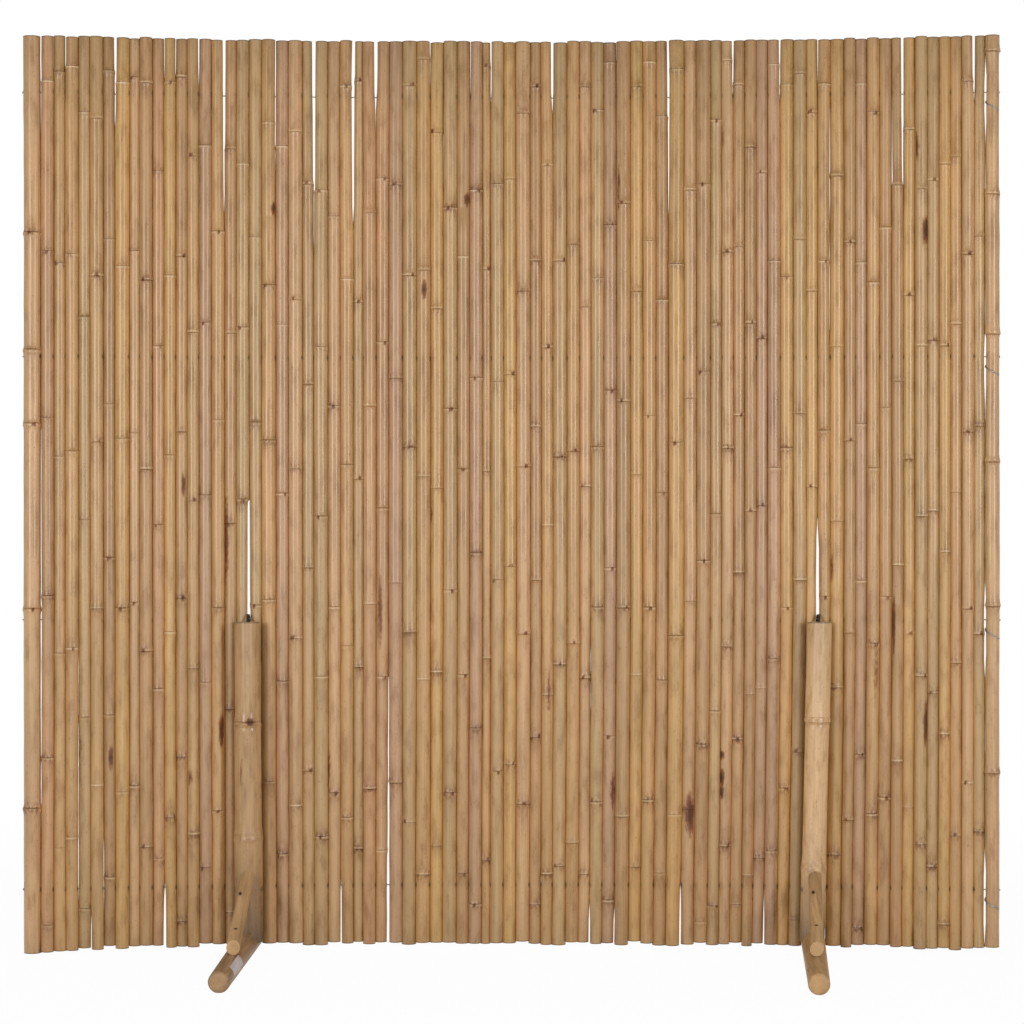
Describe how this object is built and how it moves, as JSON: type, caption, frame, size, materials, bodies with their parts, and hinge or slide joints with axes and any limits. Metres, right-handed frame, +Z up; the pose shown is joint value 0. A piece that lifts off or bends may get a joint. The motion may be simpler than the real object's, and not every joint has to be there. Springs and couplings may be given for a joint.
{
  "type": "bamboo fence panel",
  "caption": "Free-standing bamboo fence panel: upright canes threaded on wires, gently bowed in plan, on two bamboo legs with feet and braces.",
  "frame": {"origin": "on the floor, at the bottom middle of the part's box", "axes": "+Z up; +X along the wall, to the viewer's right as seen from in front; -Y towards the viewer, the side the posts and braces are on"},
  "size_m": [1.5822, 0.7294, 1.4854],
  "materials": {
    "cane": "dried bamboo skin, semi-gloss",
    "post": "dried bamboo skin, semi-gloss",
    "foot": "dried pole, satin",
    "brace": "dried stick, satin, pale cut ends",
    "wire": "galvanised, dull",
    "tie": "black, satin",
    "nail": "dull wire nail",
    "label": "blank matt paper"
  },
  "bodies": {
    "root": {"blank_label": "label", "brace_nails": "nail", "canes_01_02": "cane", "canes_03_04": "cane", "canes_05_06": "cane", "canes_07_08": "cane", "canes_09_10": "cane", "canes_11_12": "cane", "canes_13_14": "cane", "canes_15_16": "cane", "canes_17_18": "cane", "canes_19_20": "cane", "canes_21_22": "cane", "canes_23_24": "cane", "canes_25_26": "cane", "canes_27_28": "cane", "canes_29_30": "cane", "canes_31_32": "cane", "canes_33_34": "cane", "canes_35_36": "cane", "canes_37_38": "cane", "canes_39_40": "cane", "canes_41_42": "cane", "canes_43_44": "cane", "canes_45_46": "cane", "canes_47_48": "cane", "canes_49_50": "cane", "canes_51_52": "cane", "canes_53_54": "cane", "canes_55_56": "cane", "canes_57_58": "cane", "canes_59_60": "cane", "canes_61_62": "cane", "canes_63_64": "cane", "canes_65_66": "cane", "canes_67_68": "cane", "canes_69_70": "cane", "canes_71_72": "cane", "canes_73_74": "cane", "canes_75_76": "cane", "canes_77_78": "cane", "left_brace": "brace", "left_foot": "foot", "left_post": "post", "left_tie": "tie", "right_brace": "brace", "right_foot": "foot", "right_post": "post", "right_tie": "tie", "wire_row_1": "wire", "wire_row_2": "wire", "wire_row_3": "wire", "wire_row_4": "wire"}
  },
  "joints": []
}
